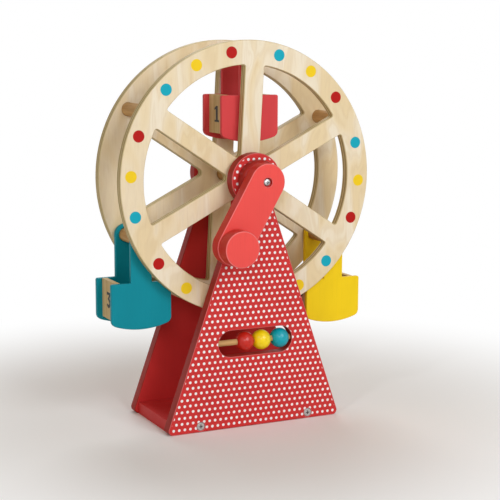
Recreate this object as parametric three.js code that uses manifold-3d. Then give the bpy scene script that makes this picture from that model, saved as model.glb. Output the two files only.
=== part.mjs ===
// Crank ferris wheel toy: two plywood wheels on one axle turn between two stand panels.
// Three cars hang on dowels between the wheels, and a crank on the front turns them all.
// Millimetres, +Z up, the crank faces -Y, the origin lies under the middle of the base board.
import * as THREE from 'three';
import { mergeVertices } from 'three/addons/utils/BufferGeometryUtils.js';
import Module from 'manifold-3d';

const wasm = await Module();
wasm.setup();

// Fits
const runFit = 0.3;
const glueLine = 0.1;
const overrun = 2;

// Stand
const axleHeight = 248;
const panelThickness = 12;
const panelGap = 4;
const headRadius = 26.7;
const waistHalfWidth = 9.3;
const sideSpread = 0.352;
const neckFillet = 6;
const footCornerRadius = 5;
const panelEase = 0.8;

// Bead window in the front panel
const windowLength = 81.4;
const windowHeight = 26.4;
const windowDrop = 161.6;
const beadRodRadius = 3;
const beadRodSeat = 11;
const beadRadius = 10;
const beadLength = 17.8;
const beadWidthShare = 0.97;
const tealWallGap = 2.4;
const yellowTealGap = 2.7;
const redYellowGap = 0.8;

// Base board and its screws
const baseThickness = 12;
const baseInset = 6;
const baseEase = 1;
const baseScrewOffset = 60;
const baseScrewHeadRadius = 4;
const baseScrewHeadHeight = 2.6;
const baseScrewShankRadius = 1.8;
const baseScrewLength = 32;

// Wheels
const wheelRadius = 136;
const rimWidth = 24;
const spokeCount = 6;
const spokeWidth = 20.5;
const wheelThickness = 10;
const wheelEase = 0.8;
const hubCornerRadius = 4;
const rimCornerRadius = 2;
const wheelGap = 50.5;
const firstSpokeAngle = 87;

// Axle and dowels
const axleRadius = 6.75;
const dowelRadius = 6.75;
const dowelInset = 12;
const dowelSeat = 5;
const washerRadius = 14;

// Crank
const crankAngle = 240;
const crankReach = 70.3;
const armRadius = 18.5;
const armThickness = 13.5;
const armEase = 1.2;
const armSocket = 5;
const spacerRadius = 20.5;
const spacerThickness = 11.5;
const spacerRound = 4;
const knobRadius = 18;
const knobLength = 17;
const knobEase = 1.5;
const knobSeam = 0.5;
const knobScrewHeadRadius = 4.5;
const knobScrewHeadHeight = 3;
const knobScrewRadius = 2;
const knobScrewGrip = 13;
const knobScrewRecess = 4;

// Axle screws and the cap behind the rear panel
const axleScrewHeadRadius = 3.8;
const axleScrewHeadHeight = 2.5;
const axleScrewShankRadius = 1.75;
const axleScrewLength = 24;
const counterboreRadius = 4.7;
const counterboreDepth = 3.5;
const capRadius = 20;
const capThickness = 9;
const capSocket = 4;
const capEase = 1;

// Cars
const carWidth = 62.5;
const carBodyHeight = 46.5;
const shoulderDrop = 42;
const hangerWidth = 22;
const sideThickness = 4.75;
const carInnerWidth = 37;
const endInset = 5.5;
const endThickness = 5;
const endLift = 8;
const floorThickness = 5;
const shoulderRadius = 2;
const bottomArcRadius = 84;
const bottomCornerInset = 5;
const bottomCornerRise = 5;
const carEase = 0.8;

// Cross recess of the screws, as shares of the head
const recessWidthShare = 0.3;
const recessLengthShare = 1.3;
const recessDepthShare = 0.5;
const crownRadiusShare = 0.72;
const crownHeightShare = 0.4;
const tipShare = 0.2;

// Facets on round shapes
const wheelSteps = 72;
const rimArcSteps = 9;
const cornerSteps = 3;
const tipSteps = 4;
const headSteps = 28;
const endSteps = 14;
const rodSides = 20;
const knobSides = 32;
const screwSides = 12;
const beadSides = 20;
const beadSteps = 8;
const roundSteps = 3;
const weldTolerance = 0.0001;

// Sizes that follow
const innerRadius = wheelRadius - rimWidth;
const spokeStep = 360 / spokeCount;
const dowelCircle = wheelRadius - dowelInset;
const wheelFace = wheelGap / 2 + wheelThickness;
const panelInside = wheelFace + panelGap;
const panelOutside = panelInside + panelThickness;
const spacerFront = -panelOutside - runFit - spacerThickness;
const armBack = spacerFront - glueLine;
const armFront = armBack - armThickness;
const capBack = panelOutside + runFit + capThickness;
const footHalfWidth = waistHalfWidth + sideSpread * axleHeight;
const beadHeight = axleHeight - windowDrop;
const beadY = -panelInside - panelThickness / 2;
const boreRadius = axleRadius + runFit;
const endHeight = carBodyHeight - endLift;

// Paints and woods
const red = finish(0xc9333c, 0.5);
const crankRed = finish(0xdf4a4a, 0.45);
const yellow = finish(0xf0cd1e, 0.45);
const teal = finish(0x0f97a6, 0.4);
const birch = finish(0xe6d2b0, 0.6);
const steel = new THREE.MeshStandardMaterial({ color: 0xb9bcc0, roughness: 0.3, metalness: 1 });
const fibre = finish(0xb08a5a, 0.8);

function finish(color, roughness) {
  return new THREE.MeshStandardMaterial({ color, roughness, metalness: 0 });
}

function rad(degrees) {
  return THREE.MathUtils.degToRad(degrees);
}

// A place on a circle round the axle, seen from the front, anticlockwise from +X
function onCircle(radius, degrees) {
  const x = radius * Math.cos(rad(degrees));
  const z = axleHeight + radius * Math.sin(rad(degrees));
  return new THREE.Vector3(x, 0, z);
}

// Points along an arc, both ends included, angles in radians
function arc(x, z, radius, from, to, steps) {
  const points = [];
  for (let step = 0; step <= steps; step += 1) {
    const angle = from + ((to - from) * step) / steps;
    points.push(new THREE.Vector2(x + radius * Math.cos(angle), z + radius * Math.sin(angle)));
  }
  return points;
}

function circle(radius, steps) {
  return arc(0, 0, radius, 0, 2 * Math.PI, steps).slice(1);
}

// A plate whose outline is drawn in X and Z, from its front face back along Y, edges eased
function plate(outline, holes, front, thickness, ease) {
  const shape = new THREE.Shape(outline);
  for (const hole of holes) {
    shape.holes.push(new THREE.Path(hole));
  }
  const geometry = new THREE.ExtrudeGeometry(shape, {
    depth: thickness - 2 * ease,
    bevelThickness: ease,
    bevelSize: ease,
    bevelOffset: -ease,
    bevelSegments: 1,
  });
  geometry.rotateX(Math.PI / 2);
  geometry.translate(0, front + thickness - ease, 0);
  return geometry;
}

// A round rod along Y from one depth to another
function rodY(radius, from, to, x, z) {
  const geometry = new THREE.CylinderGeometry(radius, radius, to - from, rodSides);
  geometry.translate(x, (from + to) / 2, z);
  return geometry;
}

// A round rod along X, centred on a place
function rodX(radius, length, x, y, z) {
  const geometry = new THREE.CylinderGeometry(radius, radius, length, rodSides);
  geometry.rotateZ(Math.PI / 2);
  geometry.translate(x, y, z);
  return geometry;
}

// A body turned about Y from a profile of [radius, depth] points
function turned(profile, sides) {
  const points = profile.map(([radius, depth]) => new THREE.Vector2(radius, depth));
  return new THREE.LatheGeometry(points, sides);
}

function solid(geometry) {
  const bare = geometry.clone();
  bare.deleteAttribute('normal');
  bare.deleteAttribute('uv');
  const welded = mergeVertices(bare, weldTolerance);
  return new wasm.Manifold(
    new wasm.Mesh({
      numProp: 3,
      vertProperties: new Float32Array(welded.attributes.position.array),
      triVerts: new Uint32Array(welded.index.array),
    }),
  );
}

function cut(geometry, tools) {
  let body = solid(geometry);
  for (const tool of tools) {
    body = body.subtract(solid(tool));
  }
  const mesh = body.getMesh();
  const result = new THREE.BufferGeometry();
  result.setAttribute('position', new THREE.BufferAttribute(mesh.vertProperties, 3));
  result.setIndex(new THREE.BufferAttribute(mesh.triVerts, 1));
  return result;
}

function named(name, geometry, material) {
  const mesh = new THREE.Mesh(geometry, material);
  mesh.name = name;
  return mesh;
}

// A cross-head wood screw with its head's top at depth 0 and its point towards +Y
function screw(headR, headHeight, shankR, length, crowned) {
  const tip = length * tipShare;
  const rimDepth = crowned ? headHeight * crownHeightShare : 0;
  const topRadius = crowned ? headR * crownRadiusShare : headR;
  const profile = [
    [0, length],
    [shankR, length - tip],
    [shankR, headHeight],
  ];
  if (crowned) {
    profile.push([headR, headHeight], [headR, rimDepth]);
  }
  profile.push([topRadius, 0], [0, 0]);
  const width = headR * recessWidthShare;
  const reach = headR * recessLengthShare;
  const depth = headHeight * recessDepthShare;
  const recess = new THREE.BoxGeometry(width, 2 * depth, reach);
  const crossing = new THREE.BoxGeometry(reach, 2 * depth, width);
  return cut(turned(profile.reverse(), screwSides), [recess, crossing]);
}

// Stand panel: a round head on a straight-sided triangle, with a fillet at each neck
function panelOutline() {
  const side = new THREE.Vector2(sideSpread, -1).normalize();
  const outward = new THREE.Vector2(-side.y, side.x);
  const start = new THREE.Vector2(waistHalfWidth, 0).addScaledVector(outward, neckFillet);
  const reach = headRadius + neckFillet;
  const along = start.dot(side);
  const travel = -along + Math.sqrt(along * along - start.lengthSq() + reach * reach);
  const neck = start.clone().addScaledVector(side, travel);
  const headAngle = Math.atan2(neck.y, neck.x);
  const sideAngle = Math.atan2(-outward.y, -outward.x);
  const footAngle = Math.atan2(outward.y, outward.x);
  const footLine = -axleHeight + footCornerRadius;
  const footEdge = waistHalfWidth - sideSpread * footLine;
  const footX = footEdge - footCornerRadius / outward.x;
  const right = [
    ...arc(footX, footLine, footCornerRadius, -Math.PI / 2, footAngle, cornerSteps),
    ...arc(neck.x, neck.y, neckFillet, sideAngle, headAngle - Math.PI, tipSteps),
  ];
  const head = arc(0, 0, headRadius, headAngle, Math.PI - headAngle, headSteps);
  const left = right.map((point) => new THREE.Vector2(-point.x, point.y)).reverse();
  return [...right, ...head.slice(1, -1), ...left];
}

function raise(points, height) {
  return points.map((point) => new THREE.Vector2(point.x, point.y + height));
}

function beadWindow() {
  const radius = windowHeight / 2;
  const offset = windowLength / 2 - radius;
  return [
    ...arc(offset, beadHeight, radius, -Math.PI / 2, Math.PI / 2, endSteps),
    ...arc(-offset, beadHeight, radius, Math.PI / 2, (3 * Math.PI) / 2, endSteps),
  ];
}

// Clearance for a countersunk base screw, widening to the panel's outer face
function baseScrewPassage() {
  const radius = baseScrewShankRadius + runFit;
  const headR = baseScrewHeadRadius + runFit;
  const depth = baseScrewHeadHeight + runFit;
  const profile = [
    [0, -overrun],
    [headR, -overrun],
    [headR, runFit],
    [radius, depth],
    [radius, baseScrewLength + runFit],
    [0, baseScrewLength + runFit],
  ];
  return turned(profile, screwSides);
}

const baseScrewPlaces = [
  { x: -baseScrewOffset, facing: -1 },
  { x: baseScrewOffset, facing: -1 },
  { x: -baseScrewOffset, facing: 1 },
  { x: baseScrewOffset, facing: 1 },
];

// Puts a screw or its passage at one of the four base places
function atBasePlace(geometry, place) {
  if (place.facing > 0) {
    geometry.rotateZ(Math.PI);
  }
  geometry.translate(place.x, place.facing * panelOutside, baseThickness / 2);
  return geometry;
}

function basePassages() {
  return baseScrewPlaces.map((place) => atBasePlace(baseScrewPassage(), place));
}

function buildStand() {
  const group = new THREE.Group();
  const outline = raise(panelOutline(), axleHeight);
  const bore = rodY(boreRadius, -panelOutside - overrun, panelOutside + overrun, 0, axleHeight);
  const rodBoreLength = windowLength + 2 * (beadRodSeat + runFit);
  const rodBore = rodX(beadRodRadius + runFit, rodBoreLength, 0, beadY, beadHeight);
  const passages = basePassages();

  const front = plate(outline, [beadWindow()], -panelOutside, panelThickness, panelEase);
  group.add(named('front_panel', cut(front, [bore, rodBore, ...passages]), red));

  const rear = plate(outline, [], panelInside, panelThickness, panelEase);
  group.add(named('rear_panel', cut(rear, [bore, ...passages]), red));

  const halfLength = footHalfWidth - baseInset;
  const baseOutline = [
    new THREE.Vector2(-halfLength, 0),
    new THREE.Vector2(halfLength, 0),
    new THREE.Vector2(halfLength, baseThickness),
    new THREE.Vector2(-halfLength, baseThickness),
  ];
  const baseDepth = 2 * (panelInside - glueLine);
  const base = plate(baseOutline, [], -baseDepth / 2, baseDepth, baseEase);
  group.add(named('base_board', cut(base, passages), red));

  const rodLength = windowLength + 2 * beadRodSeat;
  group.add(named('bead_rod', rodX(beadRodRadius, rodLength, 0, beadY, beadHeight), birch));

  baseScrewPlaces.forEach((place, index) => {
    const head = screw(
      baseScrewHeadRadius,
      baseScrewHeadHeight,
      baseScrewShankRadius,
      baseScrewLength,
      false,
    );
    head.translate(0, runFit, 0);
    group.add(named(`base_screw_${index + 1}`, atBasePlace(head, place), steel));
  });

  const washerBore = [rodY(boreRadius, -panelInside, panelInside, 0, axleHeight)];
  const frontWasher = rodY(washerRadius, -panelInside + glueLine, -wheelFace - runFit, 0, axleHeight);
  const rearWasher = rodY(washerRadius, wheelFace + runFit, panelInside - glueLine, 0, axleHeight);
  group.add(named('front_washer', cut(frontWasher, washerBore), fibre));
  group.add(named('rear_washer', cut(rearWasher, washerBore), fibre));
  return group;
}

// Beads are balls a little flattened along their rod. They lie near its right end, at small gaps
function buildBeads() {
  const group = new THREE.Group();
  const halfLength = beadLength / 2;
  const halfWidth = beadRadius * beadWidthShare;
  const polarLimit = Math.asin(halfLength / halfWidth);
  const round = arc(0, 0, beadRadius, -polarLimit, polarLimit, beadSteps);
  const bore = beadRodRadius + runFit;
  const flattened = round.map((point) => [point.x, point.y * beadWidthShare]);
  const profile = [[bore, -halfLength], ...flattened, [bore, halfLength], [bore, -halfLength]];
  const beads = [
    { name: 'teal_bead', paint: teal, gap: tealWallGap },
    { name: 'yellow_bead', paint: yellow, gap: yellowTealGap },
    { name: 'red_bead', paint: red, gap: redYellowGap },
  ];
  let rightEnd = windowLength / 2;
  for (const { name, paint, gap } of beads) {
    const bead = turned(profile, beadSides);
    bead.rotateZ(Math.PI / 2);
    const mesh = named(name, bead, paint);
    mesh.position.set(rightEnd - gap - halfLength, beadY, beadHeight);
    rightEnd -= gap + beadLength;
    group.add(mesh);
  }
  return group;
}

// One window of the wheel, between two spokes, with the first corner at the hub
function wheelWindow(degrees) {
  const middle = rad(degrees);
  const half = rad(spokeStep / 2);
  const edge = spokeWidth / 2;
  const tip = (edge + hubCornerRadius) / Math.sin(half);
  const cornerCircle = innerRadius - rimCornerRadius;
  const swing = half - Math.asin((edge + rimCornerRadius) / cornerCircle);
  const quarter = Math.PI / 2;
  const place = (radius, angle) => [radius * Math.cos(angle), radius * Math.sin(angle)];
  const corner = (side) => place(cornerCircle, middle + side * swing);
  const spokeSide = (side) => middle + side * (half + quarter);
  return [
    ...arc(...place(tip, middle), hubCornerRadius, spokeSide(1), spokeSide(-1) + 4 * quarter, tipSteps),
    ...arc(...corner(-1), rimCornerRadius, spokeSide(-1), middle - swing, cornerSteps),
    ...arc(0, 0, innerRadius, middle - swing, middle + swing, rimArcSteps).slice(1, -1),
    ...arc(...corner(1), rimCornerRadius, middle + swing, spokeSide(1), cornerSteps),
  ];
}

function spokeAngle(index) {
  return firstSpokeAngle + index * spokeStep;
}

function buildWheel(name, front) {
  const windows = [];
  const bores = [rodY(boreRadius, front - overrun, front + wheelThickness + overrun, 0, axleHeight)];
  const inner = front < 0 ? front + wheelThickness : front;
  for (let index = 0; index < spokeCount; index += 1) {
    windows.push(raise(wheelWindow(spokeAngle(index) + spokeStep / 2), axleHeight));
    const seat = onCircle(dowelCircle, spokeAngle(index));
    const depth = dowelSeat + runFit;
    bores.push(rodY(dowelRadius + runFit, inner - depth, inner + depth, seat.x, seat.z));
  }
  const outline = raise(circle(wheelRadius, wheelSteps), axleHeight);
  const disc = plate(outline, windows, front, wheelThickness, wheelEase);
  return named(name, cut(disc, bores), birch);
}

// Dowels are numbered clockwise from the top, so that each car hangs on the dowel of its number
function buildDowels() {
  const group = new THREE.Group();
  const halfLength = wheelGap / 2 + dowelSeat;
  for (let index = 0; index < spokeCount; index += 1) {
    const place = onCircle(dowelCircle, spokeAngle(-index));
    const number = Math.floor(index / 2) + 1;
    const name = index % 2 === 0 ? `car_dowel_${number}` : `spacer_dowel_${number}`;
    group.add(named(name, rodY(dowelRadius, -halfLength, halfLength, place.x, place.z), birch));
  }
  return group;
}

function axleScrew() {
  return screw(
    axleScrewHeadRadius,
    axleScrewHeadHeight,
    axleScrewShankRadius,
    axleScrewLength,
    true,
  );
}

function buildAxle() {
  const group = new THREE.Group();
  const front = armBack - armSocket + runFit;
  const back = capBack - capThickness + capSocket - runFit;
  const frontSeat = armFront + counterboreDepth;
  const backSeat = capBack - counterboreDepth;
  const reach = axleScrewLength - axleScrewHeadHeight + runFit;
  const pilot = axleScrewShankRadius + runFit;
  const pilots = [
    rodY(pilot, front - overrun, frontSeat + reach, 0, axleHeight),
    rodY(pilot, backSeat - reach, back + overrun, 0, axleHeight),
  ];
  group.add(named('axle', cut(rodY(axleRadius, front, back, 0, axleHeight), pilots), birch));

  const frontScrew = axleScrew();
  frontScrew.translate(0, frontSeat - axleScrewHeadHeight - glueLine, axleHeight);
  group.add(named('crank_screw', frontScrew, steel));

  const rearScrew = axleScrew();
  rearScrew.rotateZ(Math.PI);
  rearScrew.translate(0, backSeat + axleScrewHeadHeight + glueLine, axleHeight);
  group.add(named('rear_screw', rearScrew, steel));

  const cap = plate(circle(capRadius, knobSides), [], capBack - capThickness, capThickness, capEase);
  cap.translate(0, 0, axleHeight);
  const capCuts = [
    rodY(boreRadius, 0, capBack - capThickness + capSocket, 0, axleHeight),
    rodY(pilot, 0, capBack + overrun, 0, axleHeight),
    rodY(counterboreRadius, backSeat, capBack + overrun, 0, axleHeight),
  ];
  group.add(named('rear_cap', cut(cap, capCuts), crankRed));
  return group;
}

function armOutline() {
  const direction = rad(crankAngle);
  const endX = crankReach * Math.cos(direction);
  const endZ = crankReach * Math.sin(direction);
  const quarter = Math.PI / 2;
  return [
    ...arc(0, axleHeight, armRadius, direction + quarter, direction + 3 * quarter, endSteps),
    ...arc(endX, axleHeight + endZ, armRadius, direction - quarter, direction + quarter, endSteps),
  ];
}

function buildCrank() {
  const group = new THREE.Group();
  const end = onCircle(crankReach, crankAngle);
  const pilot = axleScrewShankRadius + runFit;
  const arm = plate(armOutline(), [], armFront, armThickness, armEase);
  const armCuts = [
    rodY(boreRadius, armBack - armSocket, armBack + overrun, 0, axleHeight),
    rodY(pilot, armFront - overrun, armBack + overrun, 0, axleHeight),
    rodY(counterboreRadius, armFront - overrun, armFront + counterboreDepth, 0, axleHeight),
    rodY(knobScrewRadius + runFit, armFront - overrun, armBack + overrun, end.x, end.z),
    rodY(knobScrewHeadRadius + runFit, armBack - knobScrewRecess, armBack + overrun, end.x, end.z),
  ];
  group.add(named('crank_arm', cut(arm, armCuts), crankRed));

  group.add(named('crank_spacer', crankSpacer(), crankRed));
  return group;
}

// The disc between the front panel and the crank arm, its front edge rounded over
function crankSpacer() {
  const back = spacerFront + spacerThickness;
  const shoulder = spacerRadius - spacerRound;
  const round = arc(shoulder, spacerFront + spacerRound, spacerRound, 0, -Math.PI / 2, roundSteps);
  const profile = [
    [0, back],
    [spacerRadius, back],
    ...round.map((point) => [point.x, point.y]),
    [0, spacerFront],
  ];
  const disc = turned(profile.reverse(), knobSides);
  disc.translate(0, 0, axleHeight);
  return cut(disc, [rodY(boreRadius, spacerFront - overrun, 0, 0, axleHeight)]);
}

// The knob turns on its own screw, whose head lies in the back of the crank arm
function buildKnob() {
  const group = new THREE.Group();
  const end = onCircle(crankReach, crankAngle);
  const back = armFront - knobSeam;
  const front = back - knobLength;
  const round = arc(knobRadius - knobEase, front + knobEase, knobEase, 0, -Math.PI / 2, roundSteps);
  const profile = [
    [0, back],
    [knobRadius - knobSeam, back],
    [knobRadius, back - knobSeam],
    ...round.map((point) => [point.x, point.y]),
    [0, front],
  ];
  const knob = turned(profile.reverse(), knobSides);
  knob.translate(end.x, 0, end.z);
  const bore = rodY(knobScrewRadius + runFit, back - knobScrewGrip - runFit, 0, end.x, end.z);
  group.add(named('crank_knob', cut(knob, [bore]), crankRed));

  const seat = armBack - knobScrewRecess;
  const length = knobScrewHeadHeight + seat - back + knobScrewGrip;
  const pin = screw(knobScrewHeadRadius, knobScrewHeadHeight, knobScrewRadius, length, true);
  pin.rotateZ(Math.PI);
  pin.translate(end.x, seat + knobScrewHeadHeight + glueLine, end.z);
  group.add(named('knob_screw', pin, steel));
  return group;
}

// Side of a car, with its pivot at 0, 0: a round-topped hanger over a tub with a curved bottom
function carSideOutline() {
  const half = carWidth / 2;
  const hangerHalf = hangerWidth / 2;
  const top = -shoulderDrop;
  const bottom = top - carBodyHeight;
  const arcCentre = bottom + bottomArcRadius;
  const arcEnd = half - bottomCornerInset;
  const swing = Math.asin(arcEnd / bottomArcRadius);
  const arcZ = arcCentre - bottomArcRadius * Math.cos(swing);
  const cornerZ = arcZ + bottomCornerInset * Math.tan(swing);
  const corner = new THREE.QuadraticBezierCurve(
    new THREE.Vector2(arcEnd, arcZ),
    new THREE.Vector2(half, cornerZ),
    new THREE.Vector2(half, cornerZ + bottomCornerRise),
  );
  const shoulder = half - shoulderRadius;
  const right = [
    ...corner.getPoints(cornerSteps),
    ...arc(shoulder, top - shoulderRadius, shoulderRadius, 0, Math.PI / 2, cornerSteps),
    new THREE.Vector2(hangerHalf, top),
  ];
  const left = right.map((point) => new THREE.Vector2(-point.x, point.y)).reverse();
  const down = -Math.PI / 2;
  return [
    ...arc(0, arcCentre, bottomArcRadius, down - swing, down + swing, rimArcSteps).slice(1, -1),
    ...right,
    ...arc(0, 0, hangerHalf, 0, Math.PI, rimArcSteps),
    ...left,
  ];
}

function buildCar(number, paint) {
  const group = new THREE.Group();
  const inside = carInnerWidth / 2;
  const outside = inside + sideThickness;
  const bore = rodY(dowelRadius + runFit, -outside - overrun, outside + overrun, 0, 0);
  const outline = carSideOutline();
  const front = plate(outline, [], -outside, sideThickness, carEase);
  const rear = plate(outline, [], inside, sideThickness, carEase);
  group.add(named(`car_${number}_front_side`, cut(front, [bore]), paint));
  group.add(named(`car_${number}_rear_side`, cut(rear, [bore]), paint));

  const boardWidth = carInnerWidth - 2 * glueLine;
  const endMiddle = -shoulderDrop - endHeight / 2;
  const endX = carWidth / 2 - endInset - endThickness / 2;
  const left = new THREE.BoxGeometry(endThickness, boardWidth, endHeight);
  left.translate(-endX, 0, endMiddle);
  const right = new THREE.BoxGeometry(endThickness, boardWidth, endHeight);
  right.translate(endX, 0, endMiddle);
  group.add(named(`car_${number}_left_end`, left, birch));
  group.add(named(`car_${number}_right_end`, right, birch));

  const floorLength = 2 * endX - endThickness - 2 * glueLine;
  const floor = new THREE.BoxGeometry(floorLength, boardWidth, floorThickness);
  floor.translate(0, 0, -shoulderDrop - endHeight + floorThickness / 2);
  group.add(named(`car_${number}_floor`, floor, birch));
  return group;
}

const toy = new THREE.Group();
toy.add(buildStand(), buildBeads());
toy.add(buildWheel('front_wheel', -wheelFace), buildWheel('rear_wheel', wheelGap / 2));
toy.add(buildDowels(), buildAxle(), buildCrank(), buildKnob());
const carPaints = [red, yellow, teal];
carPaints.forEach((paint, index) => {
  const car = buildCar(index + 1, paint);
  car.position.copy(onCircle(dowelCircle, spokeAngle(-2 * index)));
  toy.add(car);
});

export default toy;
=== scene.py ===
# %% [markdown]
# Crank ferris wheel toy.
# A plywood ferris wheel turns between two red stand panels when its crank is turned. Three painted
# cars hang on dowels between the wheels, and three beads slide on a rod in the front panel.
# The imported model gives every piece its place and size, so this script never fits anything by eye.
# It is told here in small steps: helpers first, then finishes, then the pieces from the ground up.

# %% Load the frame
import math

import bmesh
import bpy
from mathutils import Matrix, Vector


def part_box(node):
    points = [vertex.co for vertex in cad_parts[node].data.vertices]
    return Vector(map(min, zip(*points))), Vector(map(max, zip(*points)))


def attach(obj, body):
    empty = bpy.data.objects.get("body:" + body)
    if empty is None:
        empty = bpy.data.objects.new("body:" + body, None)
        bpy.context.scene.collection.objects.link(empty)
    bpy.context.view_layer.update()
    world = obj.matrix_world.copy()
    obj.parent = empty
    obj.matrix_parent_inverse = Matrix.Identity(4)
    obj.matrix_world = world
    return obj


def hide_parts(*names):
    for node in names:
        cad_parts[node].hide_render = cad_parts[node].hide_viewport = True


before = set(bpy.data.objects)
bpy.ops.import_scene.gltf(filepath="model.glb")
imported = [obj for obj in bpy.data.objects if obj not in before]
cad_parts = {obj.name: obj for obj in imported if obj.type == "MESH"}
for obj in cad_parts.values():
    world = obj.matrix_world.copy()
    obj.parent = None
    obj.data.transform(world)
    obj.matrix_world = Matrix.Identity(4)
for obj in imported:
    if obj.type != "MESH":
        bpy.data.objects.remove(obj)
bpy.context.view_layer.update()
MM = 0.001
print("nodes:", len(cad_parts))

# %% [markdown]
# Lengths on a toy are easy to read in millimetres, while Blender works in metres. The two helpers
# below ask the frame for a node's middle and its size in millimetres, so that each visible piece is
# worked out from the solid that it stands for.


# %% Measure a node
def middle(node):
    """The middle of a node's box, in millimetres."""
    low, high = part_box(node)
    return (low + high) / 2 / MM


def span(node):
    """The width, depth and height of a node's box, in millimetres."""
    low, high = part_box(node)
    return (high - low) / MM


axle_x, _, axle_z = middle("axle")
print("axle height:", round(axle_z, 2), "mm")
print("wheel:", [round(side, 2) for side in span("front_wheel")], "mm")

# %% [markdown]
# Colours are written the way a paint chart or an image editor shows them, as sRGB hex values.
# Shaders add light in linear values, so one function turns each hex value to linear.


# %% Colours
def linear(code):
    """The linear colour of an sRGB hex value, with full opacity."""
    parts = [int(code[place:place + 2], 16) / 255 for place in (1, 3, 5)]
    return (*[part / 12.92 if part <= 0.04045 else ((part + 0.055) / 1.055) ** 2.4 for part in parts], 1)


STAND_RED = "#D03635"
CRANK_RED = "#EF5550"
CAR_RED = "#D64649"
YELLOW = "#F9D51A"
TEAL = "#058C9C"
print("stand red in linear values:", [round(part, 3) for part in linear(STAND_RED)])

# %% [markdown]
# A shader is a small network of nodes. Building one in code means adding a node, setting its
# options and linking or setting its inputs, over and over. One function does all of that: an input
# can be given a number, a colour, another node or one socket of another node.


# %% Add a shader node
def add(tree, kind, inputs=(), **settings):
    """Adds one node with its settings, and links or sets its inputs by name or number."""
    node = tree.nodes.new("ShaderNode" + kind)
    for name, value in settings.items():
        setattr(node, name, value)
    for key, value in dict(inputs).items():
        if isinstance(value, bpy.types.Node):
            value = value.outputs[0]
        if isinstance(value, bpy.types.NodeSocket):
            tree.links.new(value, node.inputs[key])
        else:
            node.inputs[key].default_value = value
    return node


def blank_material(name):
    """A material with an empty network, and its node tree."""
    material = bpy.data.materials.new(name)
    material.use_nodes = True
    material.node_tree.nodes.clear()
    return material, material.node_tree


def show(tree, surface):
    """Sends a shader to the material's output."""
    add(tree, "OutputMaterial", {"Surface": surface})


# %% [markdown]
# Wood is never even: it varies slowly from side to side and hardly at all along the grain. Noise
# that is stretched along one direction gives both the broad figure and the fine fibres. The pattern
# is read in the piece's own coordinates, so it turns with the piece and looks the same from any side.


# %% Patterns in real sizes
def grain_noise(tree, period, detail=2.0, roughness=0.5, distortion=0.0):
    """Noise whose blotches have the given size in millimetres along X, Y and Z."""
    coordinates = add(tree, "TexCoord")
    sized = add(
        tree,
        "VectorMath",
        {0: coordinates.outputs["Object"], 1: [length * MM for length in period]},
        operation="DIVIDE",
    )
    noise = {"Vector": sized, "Scale": 1.0, "Detail": detail, "Roughness": roughness}
    return add(tree, "TexNoise", {**noise, "Distortion": distortion})


def remap(tree, value, low, high, new_low, new_high, smooth=False):
    """Moves a value from one range to another, held at both ends."""
    ends = {"Value": value, 1: low, 2: high, 3: new_low, 4: new_high}
    return add(tree, "MapRange", ends, interpolation_type="SMOOTHSTEP" if smooth else "LINEAR")


def tint(tree, amount, first, second):
    """A colour between two others; each is a colour, a node or a socket."""
    return add(tree, "MixRGB", {"Fac": amount, "Color1": first, "Color2": second})


def facing(tree, direction):
    """1 where the piece's own surface faces along Y in the given direction, 0 elsewhere."""
    coordinates = add(tree, "TexCoord")
    axes = add(tree, "SeparateXYZ", {"Vector": coordinates.outputs["Normal"]})
    along = add(tree, "Math", {0: axes.outputs["Y"], 1: direction}, operation="MULTIPLY")
    return remap(tree, along, 0.80, 0.95, 0.0, 1.0)


def broad_face(tree):
    """1 on the front and back of a board, 0 round its edge."""
    return add(tree, "Math", {0: facing(tree, 1.0), 1: facing(tree, -1.0)}, operation="ADD")


# %% [markdown]
# Birch plywood, sanded and sealed with a clear matt lacquer. Its face is one rotary-cut veneer. The
# knife peels the log almost along its growth rings, so they show as broad pale and warm areas with
# wavy contours round them, and short fibres run over both. One noise gives the areas, and a sine of
# the same noise gives contours that follow them. The edge shows the plies, long grain and end grain
# in turn, and it is browner because end grain soaks up the lacquer. The plies are drawn from the
# depth in the board, 2 mm each with a pale one outside, and the face or edge is told apart by the
# surface's direction.

# %% Birch plywood
BIRCH_PALE = "#EDE2CB"
BIRCH_WARM = "#E5D1A8"
BIRCH_FIBRE = "#CFB58A"
FIGURE_RINGS = 7
RING_DEPTH = 0.17
FIBRE_DEPTH = 0.34
PLY_LONG = "#D6C494"
PLY_END = "#A88F58"
PLY_THICKNESS = 2.0
PLY_WANDER = 0.2
LACQUER_SPECULAR = 0.2


def birch_face(tree):
    """The face veneer: broad areas, the growth rings' contours round them, then fine fibres along Z."""
    figure = grain_noise(tree, (24, 60, 80), detail=2.0, roughness=0.45, distortion=1.0)
    fibres = grain_noise(tree, (1.3, 40, 26), detail=3.0, roughness=0.6)
    warmth = remap(tree, figure, 0.35, 0.65, 0.0, 1.0, smooth=True)
    broad = tint(tree, warmth, linear(BIRCH_PALE), linear(BIRCH_WARM))
    turns = add(tree, "Math", {0: figure, 1: FIGURE_RINGS * 2 * math.pi}, operation="MULTIPLY")
    wave = add(tree, "Math", {0: turns}, operation="SINE")
    ringed = tint(tree, remap(tree, wave, 0.0, 1.0, 0.0, RING_DEPTH), broad, linear(BIRCH_FIBRE))
    return tint(tree, remap(tree, fibres, 0.52, 0.80, 0.0, FIBRE_DEPTH), ringed, linear(BIRCH_FIBRE))


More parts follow.
